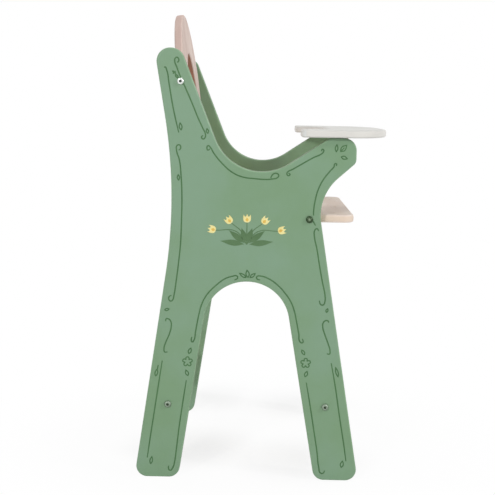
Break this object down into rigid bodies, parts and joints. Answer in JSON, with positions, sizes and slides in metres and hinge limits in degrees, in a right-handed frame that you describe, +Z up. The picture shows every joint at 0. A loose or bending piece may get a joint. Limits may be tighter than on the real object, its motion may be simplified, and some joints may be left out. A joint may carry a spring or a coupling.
{
  "type": "doll high chair",
  "caption": "Wooden high chair for a doll: cut-out side panels that are legs and arms, a seat, a leaning arched backrest with an opening, and a tray fixed on the arms.",
  "frame": {"origin": "on the floor, under the middle of the chair's bounding box", "axes": "+X is forward, the way the doll faces; +Y is the doll's left; +Z is up"},
  "size_m": [0.2687, 0.278, 0.5045],
  "materials": {
    "green_paint": "satin paint with a printed floral border",
    "white_paint": "satin paint",
    "pale_wood": "thin pinkish stain, matt",
    "dowel_wood": "bare",
    "bright_steel": "zinc plated",
    "dark_steel": "dark bronze plated"
  },
  "bodies": {
    "root": {"right_side_panel": "green_paint", "left_side_panel": "green_paint", "tray": "white_paint", "seat": "pale_wood", "backrest": "pale_wood", "rear_crossbar": "pale_wood", "front_crossbar": "pale_wood", "backrest_bolt_right": "bright_steel", "backrest_bolt_left": "bright_steel", "seat_bolt_right": "dark_steel", "seat_bolt_left": "dark_steel", "rear_crossbar_bolt_right": "bright_steel", "rear_crossbar_bolt_left": "bright_steel", "front_crossbar_bolt_right": "bright_steel", "front_crossbar_bolt_left": "bright_steel", "backrest_nut_right": "bright_steel", "backrest_nut_left": "bright_steel", "seat_nut_right": "bright_steel", "seat_nut_left": "bright_steel", "rear_crossbar_nut_right": "bright_steel", "rear_crossbar_nut_left": "bright_steel", "front_crossbar_nut_right": "bright_steel", "front_crossbar_nut_left": "bright_steel", "backrest_dowel_right": "dowel_wood", "backrest_dowel_left": "dowel_wood", "seat_dowel_right": "dowel_wood", "seat_dowel_left": "dowel_wood", "rear_crossbar_upper_dowel_right": "dowel_wood", "rear_crossbar_upper_dowel_left": "dowel_wood", "rear_crossbar_lower_dowel_right": "dowel_wood", "rear_crossbar_lower_dowel_left": "dowel_wood", "front_crossbar_upper_dowel_right": "dowel_wood", "front_crossbar_upper_dowel_left": "dowel_wood", "front_crossbar_lower_dowel_right": "dowel_wood", "front_crossbar_lower_dowel_left": "dowel_wood", "rear_tray_dowel_right": "dowel_wood", "rear_tray_dowel_left": "dowel_wood", "front_tray_dowel_right": "dowel_wood", "front_tray_dowel_left": "dowel_wood"}
  },
  "joints": []
}
